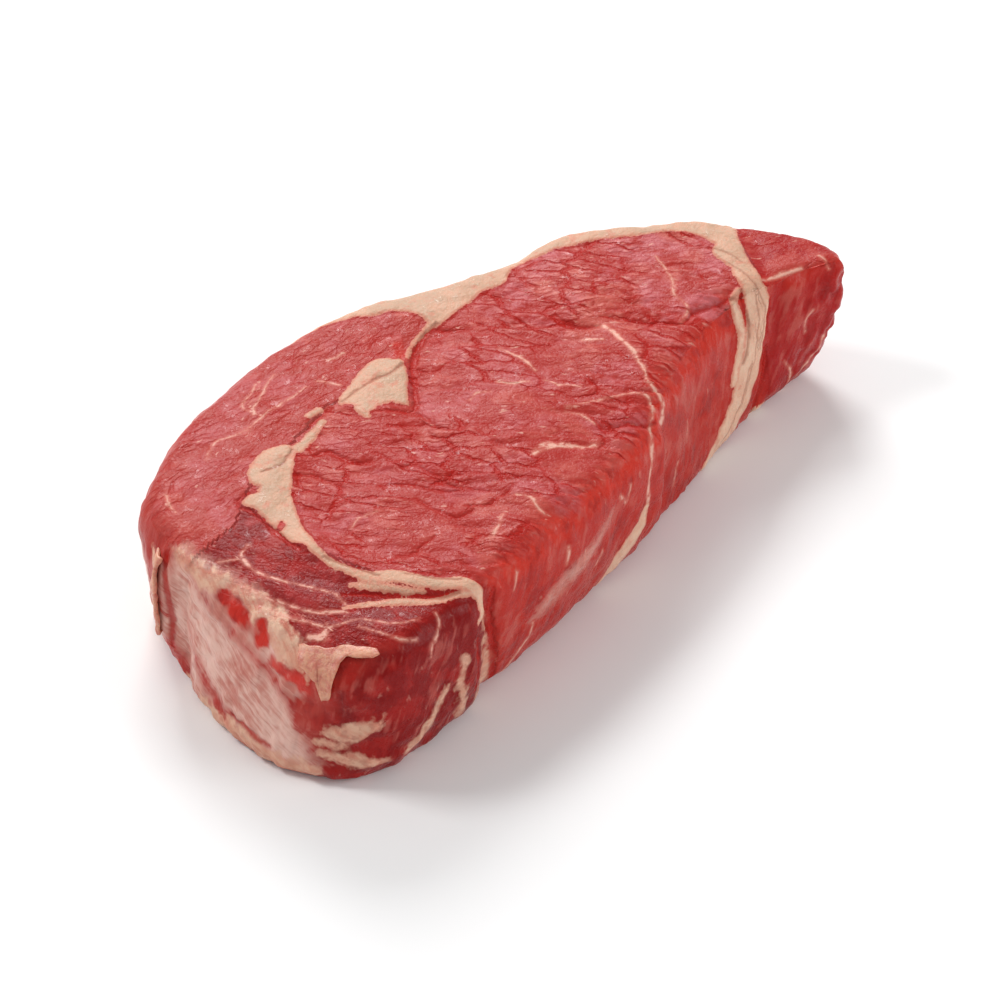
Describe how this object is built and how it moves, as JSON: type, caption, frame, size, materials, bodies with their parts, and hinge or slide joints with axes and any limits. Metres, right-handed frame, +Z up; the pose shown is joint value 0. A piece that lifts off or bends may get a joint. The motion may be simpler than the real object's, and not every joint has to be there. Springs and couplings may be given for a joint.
{
  "type": "raw ribeye steak",
  "caption": "Thick-cut raw boneless ribeye steak with marbling, fat seams, fat kernels and a side of silverskin, lying flat.",
  "frame": {"origin": "under the middle of the steak's bounding box, on the surface that it lies on", "axes": "+Z up from the lower cut face to the upper one; +X along the steak from the broad lip end to the narrow tail; +Y towards the side that is away from the camera in the picture, where the cap muscle is"},
  "size_m": [0.21, 0.1018, 0.0415],
  "materials": {
    "raw_beef": "moist raw beef: deep pinkish red lean with cream fat seams and pale silverskin"
  },
  "bodies": {
    "root": {"steak": "raw_beef"}
  },
  "joints": []
}
